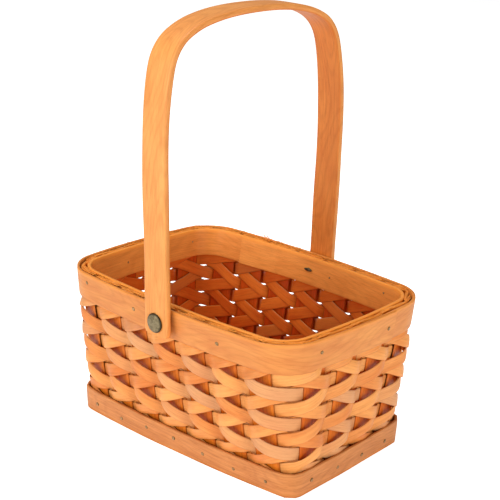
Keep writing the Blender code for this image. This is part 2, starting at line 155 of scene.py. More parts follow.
# %% [markdown]
# The studio is a sheet of white paper on a table, a white surround and soft lamps, as in a
# light tent. Two lamps stand low, in front and at the right, and one hangs above, so the
# outside is bright and the inside stays deep. The surround looks white but gives only a
# little light: Light Path tells a ray from the camera from a ray that lights something.
# The paper glows, more for the camera than for the basket. It isn't part of the object,
# so it is marked as stage.

# %% Paper and surround
scene.view_settings.view_transform = "Standard"

surround_light = 0.24
paper_light = 0.35
paper_glow = 0.85
floor_half = 2.2
floor_drop = 0.0004

world = bpy.data.worlds.new("surround")
world.use_nodes = True
seen = add(world.node_tree, "ShaderNodeLightPath").outputs["Is Camera Ray"]
inputs = {"Value": seen, "To Min": surround_light, "To Max": 1.0}
strength = add(world.node_tree, "ShaderNodeMapRange", inputs)
fill(world.node_tree.nodes["Background"], {"Strength": strength, "Color": linear("#FFFFFF")})
scene.world = world

paper, tree, shader = new_finish("matt_white_paper")
seen = add(tree, "ShaderNodeLightPath").outputs["Is Camera Ray"]
glow = add(tree, "ShaderNodeMapRange", {"Value": seen, "To Min": paper_light, "To Max": paper_glow})
fill(shader, {"Base Color": linear("#F7F7F5"), "Roughness": 0.9})
fill(shader, {"Emission Color": linear("#FFFFFF"), "Emission Strength": glow})

floor_mesh = bmesh.new()
corners = [(-1, -1), (1, -1), (1, 1), (-1, 1)]
spots = [(x * floor_half, y * floor_half, -floor_drop) for x, y in corners]
floor_mesh.faces.new([floor_mesh.verts.new(spot) for spot in spots])
floor_data = bpy.data.meshes.new("floor")
floor_mesh.to_mesh(floor_data)
floor_data.materials.append(paper)
placed("floor", floor_data)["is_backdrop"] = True
print("side of the paper in m:", 2 * floor_half)

# %% Lamps


def lamp(name, place, aim, size, power):
    """A square soft lamp that faces its aim."""
    data = bpy.data.lights.new(name, "AREA")
    data.shape = "SQUARE"
    data.size = size
    data.energy = power
    made = placed(name, data)
    made.location = place
    made.rotation_euler = (Vector(aim) - made.location).to_track_quat("-Z", "Y").to_euler()


lamp("key_lamp", (-0.30, -1.25, 0.50), (0, 0, 0.12), 0.7, 9.0)
lamp("side_lamp", (1.30, -0.35, 0.45), (0, 0, 0.12), 0.7, 9.2)
lamp("top_lamp", (-0.2, -0.2, 1.7), (0, 0, 0.1), 0.8, 15)
print("lamps:", [light.name for light in bpy.data.lights])

# %% [markdown]
# The wall of the basket leans outwards from a small foot to a wider rim. Both outlines are
# rounded rectangles whose sides bow out a little. Everything woven is placed by three
# numbers: a column (which upright), a height, and an offset from the middle of the weave.
# The foot stands turned against the rim by 0.045 radians, as hand work often does.
# These are the CAD's own sizes, because a scene may not read the CAD's source. Only the
# weave's bottom and top run on a little further here, behind the bands.

# %% Sizes of the wall, in metres
body_height = 0.130
upright_width = 0.022
weaver_width = 0.0104
row_height = 0.0254
first_row = 0.0145
splint_thickness = 0.0008
layer = 0.0011
band_offset = 0.0030
band_thickness = 0.0026
inner_band_thickness = 0.0033
wall_reach = band_offset + band_thickness
inner_reach = band_offset + inner_band_thickness
weave_bottom = 0.0102
weave_top = 0.1297
rim_band_height = 0.0245
base_band_height = 0.0205
columns_of_walls = (7, 4, 7, 4)
column_count = sum(columns_of_walls)
corner_room_share = 0.55
base_shift_shares = (-0.04, -0.06, -0.04, -0.06)
rim_shift_shares = (-0.14, 0.22, 0.00, 0.00)
short_wall_lift = 0.25 * row_height
lift_spread = 0.84
corner_steps = 3
base_corner = 0.0104
corner_points = 40
side_points = 120
print("columns round the basket:", column_count)

# %% Outlines of the foot and the rim


def outline(half_x, half_y, corner, bow_x, bow_y):
    """Points of a rounded and bowed rectangle, from the middle of its front left corner."""
    signs = [(-1, -1), (1, -1), (1, 1), (-1, 1)]
    points = []
    marks = []
    for wall_number, (sign_x, sign_y) in enumerate(signs):
        next_x, next_y = signs[(wall_number + 1) % 4]
        first = np.array([sign_x * (half_x - corner), sign_y * (half_y - corner)])
        second = np.array([next_x * (half_x - corner), next_y * (half_y - corner)])
        eighth = (wall_number + np.linspace(2.5, 3, corner_points)) * math.pi / 2
        marks.append(len(points))
        ring = corner * np.column_stack([np.cos(eighth), np.sin(eighth)])
        points.extend(first + ring)
        shares = np.linspace(0, 1, side_points)[1:-1, None]
        points.extend(points[-1] + shares * (second + ring[-1] - points[-1]))
        eighth += math.pi / 4
        points.extend(second + corner * np.column_stack([np.cos(eighth), np.sin(eighth)]))
    marks.append(len(points) - 1)
    flat = np.array(points)
    bowed = flat.copy()
    bowed[:, 0] += flat[:, 0] / half_x * bow_x * (1 - (flat[:, 1] / half_y) ** 2)
    bowed[:, 1] += flat[:, 1] / half_y * bow_y * (1 - (flat[:, 0] / half_x) ** 2)
    return bowed, marks


class Level:
    """One closed outline, read by its running length."""

    def __init__(self, length, width, corner, bow_short, bow_long, turn):
        half_x = length / 2 - wall_reach - bow_short
        half_y = width / 2 - wall_reach - bow_long
        points, marks = outline(half_x, half_y, corner - wall_reach, bow_short, bow_long)
        cosine, sine = math.cos(turn), math.sin(turn)
        points = points @ np.array([[cosine, sine], [-sine, cosine]])
        run = np.concatenate([[0], np.cumsum(np.linalg.norm(np.diff(points, axis=0), axis=1))])
        self.corners = run[marks]
        self.total = run[-1]
        kept = np.concatenate([[True], np.diff(run) > 1e-7])
        self.points, self.run = points[kept], run[kept]
        tangent = np.roll(self.points, -1, axis=0) - np.roll(self.points, 1, axis=0)
        tangent[0] = tangent[-1] = self.points[1] - self.points[-2]
        tangent /= np.linalg.norm(tangent, axis=1)[:, None]
        self.outward = np.column_stack([tangent[:, 1], -tangent[:, 0]])

    def at(self, run):
        """Points at these running lengths, and the directions that look out of the outline."""
        run = run % self.total
        read = [np.interp(run, self.run, values) for values in (*self.points.T, *self.outward.T)]
        return np.column_stack(read[:2]), np.column_stack(read[2:])


base_sizes = {"length": 0.2357, "width": 0.1505, "corner": base_corner}
base_level = Level(**base_sizes, bow_short=0.0006, bow_long=0.0046, turn=0.045)
rim_level = Level(length=0.260, width=0.1844, corner=0.029, bow_short=0.0057, bow_long=0.0069, turn=0)
print("outline lengths in mm:", round(1000 * base_level.total), round(1000 * rim_level.total))

# %% [markdown]
# The uprights stand in equal steps along each wall, a little turned against the middle, as
# on the real basket. Between two walls the columns run on round the corner. One table of
# column against running length holds all of that, and np.interp reads it.

# %% Table of columns


def column_table():
    """Columns with their running lengths on both outlines, at upright edges and corner steps."""
    middles = []
    pitches = []
    for level, shifts in ((base_level, base_shift_shares), (rim_level, rim_shift_shares)):
        made = []
        steps = []
        for wall_number, count in enumerate(columns_of_walls):
            start, end = level.corners[wall_number], level.corners[wall_number + 1]
            pitch = (end - start) / (count - 1 + 2 * corner_room_share)
            middle = (start + end) / 2 + shifts[wall_number] * pitch
            made.extend(middle + (number - (count - 1) / 2) * pitch for number in range(count))
            steps.append(pitch)
        middles.append(made)
        pitches.append(sum(steps) / len(steps))
    edge = upright_width / sum(pitches)
    rows = []
    for column in range(column_count):
        for side in (-1, 0, 1):
            half = side * upright_width / 2
            rows.append((column + side * edge, middles[0][column] + half, middles[1][column] + half))
    rows.append((rows[0][0] + column_count, rows[0][1] + base_level.total, rows[0][2] + rim_level.total))
    arc = math.pi / 2 * (base_corner - wall_reach)
    ends = np.cumsum(columns_of_walls)
    for corner, column in enumerate(ends):
        before, after = np.array(rows[3 * column - 1 : 3 * column + 1])
        for step in range(1, corner_steps + 1):
            share = step / (corner_steps + 1)
            along = (share - 0.5) * (corner_steps + 1) / (corner_steps - 1)
            between = before + (after - before) * share
            between[1] = base_level.corners[corner + 1] + arc * along
            rows.append(tuple(between))
    return np.array(sorted(rows)), edge, sum(pitches) / 2


table, edge_share, mean_pitch = column_table()
print("mean pitch of the uprights in mm:", round(1000 * mean_pitch, 1))

# %% A point of the wall


def wall(column, height, offset=0.0):
    """Points of the wall at these columns, heights and offsets, and the outward directions."""
    column, height, offset = np.broadcast_arrays(np.asarray(column, float), height, offset)
    place = table[0, 0] + (column - table[0, 0]) % column_count
    foot, foot_out = base_level.at(np.interp(place, table[:, 0], table[:, 1]))
    head, head_out = rim_level.at(np.interp(place, table[:, 0], table[:, 2]))
    share = (height / body_height)[:, None]
    outward = foot_out + (head_out - foot_out) * share
    outward /= np.linalg.norm(outward, axis=1)[:, None]
    flat = foot + (head - foot) * share + outward * offset[:, None]
    lean = ((head - foot) * outward).sum(axis=1) / body_height
    normal = np.column_stack([outward, -lean])
    return np.column_stack([flat, height]), normal / np.linalg.norm(normal, axis=1)[:, None]


def half_way(one, other):
    """Half the way from one point of the wall to another, each a column and a height."""
    return (wall(*other)[0] - wall(*one)[0]) / 2


print("top of the first upright in mm:", np.round(1000 * wall([0.0], body_height)[0][0]))

# %% [markdown]
# Nearly everything here is a strip on a path: a splint, a band, the handle. So one
# Geometry Nodes tree makes them all. The script lays the path as a plain polyline and
# writes on each point which way the strip's width and its face look, how thick it is and
# how much it is bowed. The tree sweeps a rounded section along it. Curve to Mesh alone
# would choose its own twist, so the tree sets every point from the stored directions.

# %% How a tree starts and ends


def new_tree(name, sizes):
    """A Geometry Nodes tree with a named input for each size, and its input sockets."""
    tree = bpy.data.node_groups.new(name, "GeometryNodeTree")
    for field, kind in {"Geometry": "Geometry", **sizes, "Finish": "Material"}.items():
        tree.interface.new_socket(field, in_out="INPUT", socket_type="NodeSocket" + kind)
    tree.interface.new_socket("Geometry", in_out="OUTPUT", socket_type="NodeSocketGeometry")
    return tree, add(tree, "NodeGroupInput").outputs


def end_tree(tree, shape, finish):
    """Makes the instances real, sets the finish and hands the shape out."""
    real = add(tree, "GeometryNodeRealizeInstances", {"Geometry": shape})
    finished = add(tree, "GeometryNodeSetMaterial", {"Geometry": real, "Material": finish})
    add(tree, "NodeGroupOutput", {"Geometry": finished})


def power_of(tree, value, power):
    """The value's sign times its size raised to a power, which squares up a circle."""
    size = add(tree, "ShaderNodeMath", {0: value}, operation="ABSOLUTE")
    raised = add(tree, "ShaderNodeMath", {0: size, 1: power}, operation="POWER")
    sign = add(tree, "ShaderNodeMath", {0: value}, operation="SIGN")
    return add(tree, "ShaderNodeMath", {0: raised, 1: sign}, operation="MULTIPLY")


print("every tree ends with:", end_tree.__doc__)

# %% The strip tree


def strip_tree():
    """Sweeps a rounded section along every path, by the directions stored on its points."""
    sizes = {"Section Points": "Int", "Face Power": "Float", "Edge Power": "Float"}
    tree, start = new_tree("strip_on_a_path", sizes)
    line = add(tree, "GeometryNodeMeshToCurve", {"Mesh": start["Geometry"]})
    inputs = {"Resolution": start["Section Points"], "Radius": 1.0}
    section = add(tree, "GeometryNodeCurvePrimitiveCircle", inputs)
    place = add(tree, "GeometryNodeInputPosition")
    parts = add(tree, "ShaderNodeSeparateXYZ", {0: place}).outputs
    for name, axis, power in (("sideways", 0, "Face Power"), ("through", 1, "Edge Power")):
        value = power_of(tree, parts[axis], start[power])
        inputs = {"Geometry": section, "Name": name, "Value": value}
        section = add(tree, "GeometryNodeStoreNamedAttribute", inputs, data_type="FLOAT", domain="POINT")
    inputs = {"Curve": line, "Profile Curve": section, "Fill Caps": True}
    swept_strip = add(tree, "GeometryNodeCurveToMesh", inputs)
    vectors = ("spine", "across", "outward")
    read = {}
    for name in (*vectors, "bow", "half", "run", "breadth", "sideways", "through"):
        kind = "FLOAT_VECTOR" if name in vectors else "FLOAT"
        read[name] = add(tree, "GeometryNodeInputNamedAttribute", {"Name": name}, data_type=kind)
    inputs = {0: read["across"], "Scale": read["sideways"]}
    side = add(tree, "ShaderNodeVectorMath", inputs, operation="SCALE")
    inputs = {0: read["sideways"], 1: read["sideways"]}
    square = add(tree, "ShaderNodeMath", inputs, operation="MULTIPLY")
    crown = add(tree, "ShaderNodeMath", {0: 1.0, 1: square}, operation="SUBTRACT")
    crown = add(tree, "ShaderNodeMath", {0: crown, 1: read["bow"]}, operation="MULTIPLY")
    inputs = {0: read["half"], 1: read["through"], 2: crown}
    depth = add(tree, "ShaderNodeMath", inputs, operation="MULTIPLY_ADD")
    depth = add(tree, "ShaderNodeVectorMath", {0: read["outward"], "Scale": depth}, operation="SCALE")
    middle = add(tree, "ShaderNodeVectorMath", {0: read["spine"], 1: side}, operation="ADD")
    final = add(tree, "ShaderNodeVectorMath", {0: middle, 1: depth}, operation="ADD")
    shaped = add(tree, "GeometryNodeSetPosition", {"Geometry": swept_strip, "Position": final})
    width = add(tree, "ShaderNodeMath", {0: read["sideways"], 1: read["breadth"]}, operation="MULTIPLY")
    level = add(tree, "ShaderNodeMath", {0: read["through"], 1: read["half"]}, operation="MULTIPLY")
    grain = add(tree, "ShaderNodeCombineXYZ", {0: read["run"], 1: width, 2: level})
    edge = add(tree, "ShaderNodeMath", {0: read["sideways"]}, operation="ABSOLUTE")
    for name, value, kind in (("grain", grain, "FLOAT_VECTOR"), ("edge", edge, "FLOAT")):
        inputs = {"Geometry": shaped, "Name": name, "Value": value}
        shaped = add(tree, "GeometryNodeStoreNamedAttribute", inputs, data_type=kind, domain="POINT")
    end_tree(tree, shaped, start["Finish"])
    return tree


strips = strip_tree()
print("strip tree nodes:", len(strips.nodes))

# %% [markdown]
# The tree needs its paths, and its result has to become a plain mesh, because the export
# drops live instances and a modifier would be in the way of the calls that tie a piece to
# its body. These helpers lay the paths, run the tree and keep the plain mesh.

# %% Paths with their directions
chance = np.random.default_rng(7)
path_fields = ("spine", "across", "outward", "strip", "bow", "half", "run", "breadth")


def path(spine, across, outward, half, breadth, bow=0.0, tone=0.5, wash=0.0):
    """One path of a strip, with its directions, half thickness, half width and look."""
    count = len(spine)
    steps = np.linalg.norm(np.diff(spine, axis=0), axis=1)
    look = [np.broadcast_to(value, count) for value in (chance.uniform(0, 9), tone, wash)]
    return {
        "spine": spine,
        "across": across,
        "outward": outward,
        "strip": np.column_stack(look),
        "bow": np.broadcast_to(bow, count),
        "half": np.broadcast_to(half, count),
        "run": np.concatenate([[0], np.cumsum(steps)]),
        "breadth": np.broadcast_to(breadth, count),
    }


print("kinds of data on a path:", ", ".join(path_fields))

# %% Helpers that run a tree and keep the plain mesh


def grown(name, spots, edges, fields, tree, wanted):
    """Runs a tree on paths or points with these fields, and keeps a plain mesh."""
    seeds = bpy.data.meshes.new(name + "_seeds")
    seeds.from_pydata(spots.tolist(), edges, [])
    for field, values in fields.items():
        kind, key = ("FLOAT_VECTOR", "vector") if values.ndim == 2 else ("FLOAT", "value")
        stored = seeds.attributes.new(field, kind, "POINT")
        stored.data.foreach_set(key, values.astype(np.float32).ravel())
    holder = placed(seeds.name, seeds)
    modifier = holder.modifiers.new("tree", "NODES")
    modifier.node_group = tree
    for item in tree.interface.items_tree:
        if item.in_out == "INPUT" and item.name in wanted:
            modifier[item.identifier] = wanted[item.name]
    graph = bpy.context.evaluated_depsgraph_get()
    mesh = bpy.data.meshes.new_from_object(holder.evaluated_get(graph))
    bpy.data.objects.remove(holder)
    for field in [kept.name for kept in mesh.attributes]:
        if field in fields and field != "strip" or field in ("sideways", "through"):
            mesh.attributes.remove(mesh.attributes[field])
    mesh.name = name
    return placed(name, mesh)


def swept(name, paths, finish, section_points=14, face_power=0.8, edge_power=0.3):
    """Strips along these paths, as one plain mesh whose faces look out."""
    counts = [len(one["spine"]) for one in paths]
    edges = []
    for first, count in zip(np.cumsum([0] + counts), counts):
        edges.extend((first + step, first + step + 1) for step in range(count - 1))
    fields = {field: np.concatenate([one[field] for one in paths]) for field in path_fields}
    wanted = {"Section Points": section_points, "Face Power": face_power, "Edge Power": edge_power}
    made = grown(name, fields["spine"], edges, fields, strips, {**wanted, "Finish": finish})
    shape = bmesh.new()
    shape.from_mesh(made.data)
    bmesh.ops.recalc_face_normals(shape, faces=shape.faces)
    shape.to_mesh(made.data)
    shape.free()
    made.data.shade_smooth()
    return made


def settle(piece, body, slot, *nodes):
    """Ties a piece to its body and hides the CAD nodes it stands for. The slot is not used."""
    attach(piece, body)
    if nodes:
        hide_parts(*nodes)
    print(f"{piece.name}: {len(piece.data.polygons)} faces, rides on {body}")


print("inputs of the strip tree:", [item.name for item in strips.interface.items_tree][1:])

# %% [markdown]
# Splint wood is poplar or a like pale wood, sliced, stained honey orange and varnished.
# What the eye gets from it is fine straight grain along the strip, slow patches of paler
# and deeper stain, darker edges and a soft satin gloss. The dark of the edges is partly
# stain soaked into the cut edges and partly painted shade where a strip meets the next.
# The pattern reads the grain coordinates that the strip tree wrote, so it follows every bend.
# The side that looks into the basket is coloured deeper: partly a deeper stain and partly
# painted shade of the dim inside. Where an Ambient Occlusion node finds hollows in the
# weave, the colour is darkened there as painted shade, and less gloss shines there. That
# gloss is a linked value, which only the render shows. The bands and the handle are sawn
# wood with faint growth rings, from a sine of slow noise.

# %% How a wood finish is built
painted_shade_colour = "#481002"
cut_wood_highlight = "#F79A3C"
hollow_reach = 0.006
line_bend = 5.0
ring_turns = 120.0
# Shares of open air between which the painted shade of the hollows fades out, and the
# varnish starts to shine
painted_shade_air = (0.06, 0.24)
shining_air = (0.55, 0.90)
full_gloss = 0.34
satin_roughness = (0.36, 0.54)
# Heights between which the painted shade of the hollows stops, and the pale cut wood with
# a painted highlight on the top edges starts
painted_shade_stops = (0.1250, 0.1272)
cut_wood_highlight_starts = (0.1268, 0.1286)
painted_shade_left = 0.1


def wood(
    name, pale, deep, stain, half_mm, grain_mm, streak, painted_shade_depth, edges,
    figure=0.0, cut_end_highlight=0.0, washed="#FFFFFF", inner_stain_and_shade="#FFFFFF",
):
    """A stained and varnished wood: fine grain along the strip, patches, darker edges, painted shade in
    the hollows and a painted highlight on the tops.
    """
    made, tree, shader = new_finish(name)
    grain = add(tree, "ShaderNodeAttribute", attribute_name="grain").outputs["Vector"]
    strip = add(tree, "ShaderNodeAttribute", attribute_name="strip").outputs["Vector"]
    edge = add(tree, "ShaderNodeAttribute", attribute_name="edge").outputs["Fac"]
    look = add(tree, "ShaderNodeSeparateXYZ", {0: strip}).outputs
    shift = add(tree, "ShaderNodeCombineXYZ", {2: look[0]})

    def pattern(along_mm, across_mm, detail, warp=None):
        """Noise in patches of this length and width, other on each strip."""
        size = (1000 / along_mm, 1000 / across_mm, 1000 / across_mm)
        moved = add(tree, "ShaderNodeVectorMath", {0: grain, 1: size}, operation="MULTIPLY")
        moved = add(tree, "ShaderNodeVectorMath", {0: moved, 1: shift}, operation="ADD")
        if warp is not None:
            moved = add(tree, "ShaderNodeVectorMath", {0: moved, 1: warp}, operation="ADD")
        inputs = {"Vector": moved, "Scale": 1.0, "Detail": detail, "Roughness": 0.6}
        return add(tree, "ShaderNodeTexNoise", inputs)

    drift = pattern(90, 14, 1.0)
    bend = add(tree, "ShaderNodeMath", {0: drift, 1: line_bend}, operation="MULTIPLY")
    warp = add(tree, "ShaderNodeCombineXYZ", {1: bend})
    lines = pattern(34, grain_mm, 3.0, warp)
    fibres = pattern(9, grain_mm * 0.3, 2.0)
    patches = pattern(28, 7, 2.0)
    pores = pattern(5, 0.5, 1.0)

    inputs = {"Value": patches, "From Min": 0.32, "From Max": 0.68, "To Min": -0.3, "To Max": 0.3}
    spread = add(tree, "ShaderNodeMapRange", inputs)
    depth = add(tree, "ShaderNodeMath", {0: spread, 1: look[1]}, operation="ADD", use_clamp=True)
    colour = coat(tree, linear(pale), deep, depth)
    colour = coat(tree, colour, washed, look[2])
    colour = coat(tree, colour, stain, lines, 0.46, 0.70, streak)
    colour = coat(tree, colour, stain, pores, 0.60, 0.75, streak)
    if figure:
        heart = pattern(130, 30, 0.5)
        turns = add(tree, "ShaderNodeMath", {0: heart, 1: ring_turns}, operation="MULTIPLY")
        rings = add(tree, "ShaderNodeMath", {0: turns}, operation="SINE")
        colour = coat(tree, colour, stain, rings, 0.1, 1.0, figure)
    # Darker long edges: partly stain soaked into the cut edges, partly painted shade where a strip meets
    # the next
    colour = coat(tree, colour, stain, edge, 0.88, 1.0, edges)
    # The inner side is multiplied deeper: partly a deeper stain, partly painted shade of the dim inside
    through = add(tree, "ShaderNodeSeparateXYZ", {0: grain}).outputs[2]
    half = half_mm / 1000
    colour = coat(tree, colour, inner_stain_and_shade, through, -0.3 * half, -0.8 * half, blend="MULTIPLY")

    # Painted shade: the colour goes dark red where the Ambient Occlusion node finds a hollow, less of it
    # near the rim top
    open_air = add(tree, "ShaderNodeAmbientOcclusion", {"Distance": hollow_reach}, samples=8).outputs["AO"]
    low, high = painted_shade_air
    inputs = {"Value": open_air, "From Min": low, "From Max": high, "To Min": painted_shade_depth, "To Max": 0.0}
    painted_shade = add(tree, "ShaderNodeMapRange", inputs)
    place = add(tree, "ShaderNodeTexCoord").outputs["Object"]
    height = add(tree, "ShaderNodeSeparateXYZ", {0: place}).outputs[2]
    low, high = painted_shade_stops
    inputs = {"Value": height, "From Min": low, "From Max": high, "To Min": 1.0, "To Max": painted_shade_left}
    below_rim = add(tree, "ShaderNodeMapRange", inputs)
    painted_shade = add(tree, "ShaderNodeMath", {0: painted_shade, 1: below_rim}, operation="MULTIPLY")
    colour = coat(tree, colour, painted_shade_colour, painted_shade)
    # Painted highlight: the tops of the splint ends and of the bands go pale, partly the raw cut wood
    colour = coat(tree, colour, cut_wood_highlight, height, *cut_wood_highlight_starts, cut_end_highlight)

    low, high = shining_air
    inputs = {"Value": open_air, "From Min": low, "From Max": high, "To Min": 0.0, "To Max": full_gloss}
    gloss = add(tree, "ShaderNodeMapRange", inputs)
    low, high = satin_roughness
    rough = add(tree, "ShaderNodeMapRange", {"Value": lines, "To Min": low, "To Max": high})
    relief = add(tree, "ShaderNodeMath", {0: lines, 1: fibres}, operation="ADD")
    bump = add(tree, "ShaderNodeBump", {"Height": relief, "Strength": 0.22, "Distance": 0.0002})
    fill(shader, {"Base Color": colour, "Specular IOR Level": gloss, "Roughness": rough})
    fill(shader, {"Normal": bump, "IOR": 1.42})
    return made


# The colour of the painted shade in the hollows
print("shared stain in the hollows:", painted_shade_colour)

# %% [markdown]
# One function makes all six woods, so they differ only in what the eye tells apart: two
# stains between which each strip lies, the stain of its grain and of its edges, whose dark is
# partly painted shade, and how strong each mark is. The growth rings belong to the sawn
# woods, and only the splints, the uprights and the handle are coloured differently on their
# inner side, partly as painted shade.

# %% The six woods
splint_wood = wood(
    "sliced_poplar_splint", "#ECA056", "#D67A36", "#84300A", washed="#CC9A70", inner_stain_and_shade="#FFC984",
    half_mm=0.4, grain_mm=0.9, streak=0.20, painted_shade_depth=0.95, edges=0.45, cut_end_highlight=0.75,
)
# The uprights' wood is deeper and redder than the splints', as painted shade of the small windows they
# show in
upright_wood = wood(
    "sliced_poplar_upright", "#EC8226", "#D8681C", "#6A2204", washed="#BE8256", inner_stain_and_shade="#E8AC74",
    half_mm=0.4, grain_mm=0.8, streak=0.30, painted_shade_depth=0.95, edges=0.6, cut_end_highlight=0.75,
)
band_wood = wood(
    "bent_ash_rim_band", "#DE924A", "#C87438", "#964810",
    half_mm=1.3, grain_mm=1.2, streak=0.14, figure=0.13, painted_shade_depth=0.85, edges=0.12, cut_end_highlight=0.35,
)
foot_wood = wood(
    "bent_ash_base_band", "#DA9050", "#C0743A", "#7E3410",
    half_mm=1.3, grain_mm=1.0, streak=0.30, figure=0.12, painted_shade_depth=0.85, edges=0.05,
)
inner_wood = wood(
    "bent_ash_inner_band", "#F49C48", "#E08436", "#944008",
    half_mm=1.65, grain_mm=0.7, streak=0.26, figure=0.10, painted_shade_depth=0.4, edges=0.05, cut_end_highlight=0.8,
)
handle_wood = wood(
    "bent_ash_handle", "#EEA256", "#DC8842", "#98480F", inner_stain_and_shade="#EED2AE",
    half_mm=2.75, grain_mm=1.0, streak=0.24, figure=0.14, painted_shade_depth=0.6, edges=0.05,
)
woods = (splint_wood, upright_wood, band_wood, foot_wood, inner_wood, handle_wood)
print("wood finishes:", [one.name for one in woods])

# %% [markdown]
# The weave is a rule. A falling splint drops half a row per column and a rising one climbs
# half a row. Each goes over one upright and under the next, so its distance from the
# middle of the wall swings like a cosine. At the gaps the two kinds cross, and a small sine
# keeps the falling ones on top to the right of an upright and below to the left. Between
# the bands a splint bulges out where it is free and lies nearly flat inside. The lower edge
# stands out further than the upper one, which makes the shingled look. In the rim the
# splints draw together, and their cut ends broom out and fill most of the gap.

# %% How far a splint stands off the wall
slant = math.atan2(row_height / 2, mean_pitch)
half_height = weaver_width / math.cos(slant) / 2
free_swing = 0.0068
held_swing = 0.0017
inside_swing = 0.0016
rim_swing = 0.0014
rim_shift = 0.0007
held_power = 0.55
free_power_gain = 0.3
# Heights at which a splint leaves the base band, nears the rim and draws into it
leaves_base = (0.0205, 0.032)
nears_rim = (0.1005, 0.1075)
enters_rim = (0.100, 0.116)


def ramp(value, start, end):
    """Eases from 0 at the start to 1 at the end."""
    share = np.clip((value - start) / (end - start), 0, 1)
    return share * share * (3 - 2 * share)


def lift(column):
    """How much higher the rows run on the short walls, with a ramp round each corner."""
    share = np.zeros(len(column))
    corner = -0.5 - column_count
    while corner < column.max() + column_count:
        for count, sign in ((columns_of_walls[0], 1), (columns_of_walls[1], -1)):
            corner += count
            share += sign * np.clip((column - corner) / (2 * lift_spread) + 0.5, 0, 1)
    return share * short_wall_lift


def stand_off(height, swing, share, fullness):
    """How far a splint stands off the middle of the wall at this height."""
    free = ramp(height, *leaves_base) * (1 - ramp(height, *nears_rim)) * share
    in_rim = ramp(height, *enters_rim)
    size = held_swing + (rim_swing - held_swing) * in_rim + (free_swing - held_swing) * free * fullness
    size = np.where(swing > 0, size, np.minimum(size, inside_swing))
    power = held_power + free_power_gain * free
    return size * np.sign(swing) * np.abs(swing) ** power - rim_shift * in_rim


print("slant of the splints in degrees:", round(math.degrees(slant), 1))

# %% Paths of the slanting splints
steps_per_column = 12
upper_share = 0.86
lower_share = 1.14
fullness_spread = 0.12
washed_share = 0.2
crown_rise = 0.0006
end_swell = 0.8
splint_swells = (0.118, 0.126)


def splint_path(number, falling):
    """A slanting splint from foot to rim, over one upright and under the next."""
    sign = -1 if falling else 1
    reach = short_wall_lift + half_height
    low = 2 * (weave_bottom - first_row - reach) / row_height
    high = 2 * (weave_top - first_row + reach) / row_height
    ends = (number - high, number - low) if falling else (low - number, high - number)
    column = np.arange(ends[0], ends[1], 1 / steps_per_column)
    height = first_row + row_height / 2 * (number + sign * column) + lift(column)
    over = number if falling else 1 - number
    swing = np.cos(math.pi * (column - over))
    cross = -sign * np.sin(math.pi * (column - over))
    fullness = 1 + chance.uniform(-fullness_spread, fullness_spread)
    above = stand_off(height + half_height, swing, upper_share, fullness)
    below = stand_off(height - half_height, swing, lower_share, fullness)
    spine, outward = wall(column, height, (above + below) / 2 + cross * layer / 2)
    across = half_way((column, height - half_height), (column, height + half_height))
    across = across + outward * ((above - below) / 2)[:, None]
    bow = crown_rise * np.maximum(swing, 0) ** 2
    tone = chance.uniform(0.1, 0.8)
    wash = chance.uniform(0.25, 0.6) if chance.uniform() < washed_share else 0.0
    half = splint_thickness / 2 * (1 + end_swell * ramp(height, *splint_swells))
    return path(spine, across, outward, half, weaver_width / 2, bow, tone, wash)


print("height of a splint's slanting cut in mm:", round(2000 * half_height, 1))

# %% The slanting splints
rag_depth = 0.0006
rag_waves_per_metre = 900


def trimmed(piece, height, keep_below, ragged=0.0):
    """Cuts a piece level, closes the cut and roughens it, as shears leave it."""
    shape = bmesh.new()
    shape.from_mesh(piece.data)
    bmesh.ops.bisect_plane(
        shape,
        geom=shape.verts[:] + shape.edges[:] + shape.faces[:],
        plane_co=(0, 0, height),
        plane_no=(0, 0, 1),
        clear_outer=keep_below,
        clear_inner=not keep_below,
    )
    rims = [edge for edge in shape.edges if edge.is_boundary]
    bmesh.ops.holes_fill(shape, edges=rims, sides=0)
    for vert in shape.verts:
        if ragged and vert.co.z > height - 1e-5:
            place = vert.co * rag_waves_per_metre
            wave = math.sin(place.x + 2 * place.y) + math.sin(2.3 * place.x - 1.1 * place.y)
            vert.co.z += ragged * (0.5 * wave - 0.4)
    shape.to_mesh(piece.data)
    shape.free()


for kind, falling in (("falling", True), ("rising", False)):
    paths = [splint_path(number, falling) for number in range(column_count)]
    piece = swept(kind + "_splints", paths, splint_wood)
    trimmed(piece, weave_top, True, rag_depth)
    trimmed(piece, weave_bottom, False)
    names = [f"{kind}_splint_{number + 1:02d}" for number in range(column_count)]
    settle(piece, "basket", "splint", *names)

# %% [markdown]
# The uprights are the broad flat strips in the middle of the weave. They show only in the
# small windows between the splints, where they catch light on one side and shade on the
# other. They are swept by the same tree, on paths that run up the wall.

# %% Uprights
upright_steps = 28
upright_foot = 0.0006
top_spread = 0.0006
upright_swells = (0.124, 0.127)


def upright_path(column):
    """One upright, from the foot to the rim."""
    height = np.linspace(upright_foot, weave_top - chance.uniform(0, top_spread), upright_steps)
    spine, outward = wall(column, height, -rim_shift * ramp(height, *enters_rim))
    across = half_way((column - edge_share, height), (column + edge_share, height))
    tone = chance.uniform(0.2, 0.8)
    half = splint_thickness / 2 * (1 + end_swell * ramp(height, *upright_swells))
    return path(spine, across, outward, half, upright_width / 2, 0.0, tone)


uprights = swept("uprights", [upright_path(column) for column in range(column_count)], upright_wood)
names = ["uprights_" + side for side in ("front", "right", "back", "left")]
settle(uprights, "basket", "upright", *names)

# %% [markdown]
# The three bands are thicker strips bent round the basket. Their ends are shaved thin and
# lap over each other for a little over 40 mm. The cut end of the outer lap shows as a step.
# A band that follows the wall exactly looks machined, so each one wanders by a fraction
# of a millimetre, as steam-bent wood does.

# %% Bands
outer_lap_column = 8.0
inner_lap_column = 15.0
base_lap_column = 14 + edge_share
lap_span = 1.3
lap_tip = 0.0007
lap_end = 0.0010
gap = 0.0003
band_step = 0.1
band_wander = 0.00015


